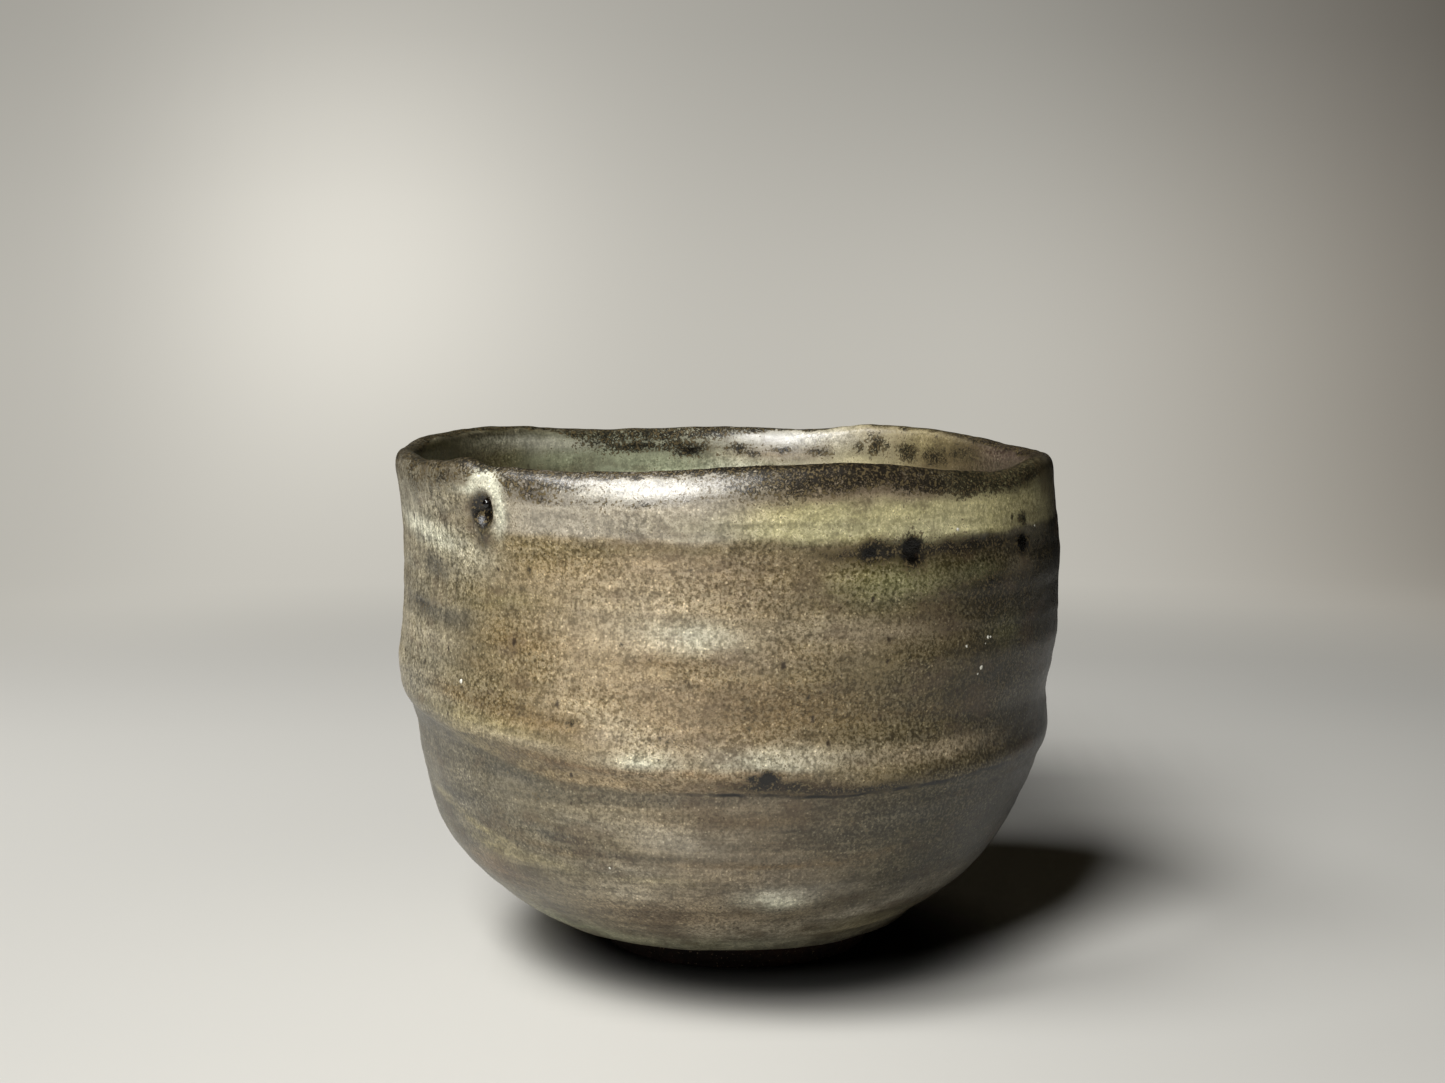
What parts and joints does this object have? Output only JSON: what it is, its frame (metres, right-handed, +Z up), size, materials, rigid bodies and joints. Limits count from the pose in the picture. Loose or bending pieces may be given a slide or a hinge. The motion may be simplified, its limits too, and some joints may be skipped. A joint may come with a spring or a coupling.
{
  "type": "matcha bowl",
  "caption": "Hand-thrown stoneware tea bowl with an uneven rim, a trimmed belly, a low foot ring and glaze coats outside and in.",
  "frame": {"origin": "centre of the foot ring's flat resting face, on the table", "axes": "+Z up out of the mouth, -Y the front with the pit near the lip on its left, +X to the right of the front"},
  "size_m": [0.1193, 0.1196, 0.0915],
  "materials": {
    "clay": "unglazed dark stoneware, matt",
    "outer_glaze": "satin grey-brown ash glaze with iron brown bands",
    "inner_glaze": "satin grey-green ash glaze",
    "iron_stone": "melted, glossy black"
  },
  "bodies": {
    "root": {"bowl_body": "clay", "foot_ring": "clay", "outer_glaze": "outer_glaze", "inner_glaze": "inner_glaze", "stone_bead": "iron_stone"}
  },
  "joints": []
}
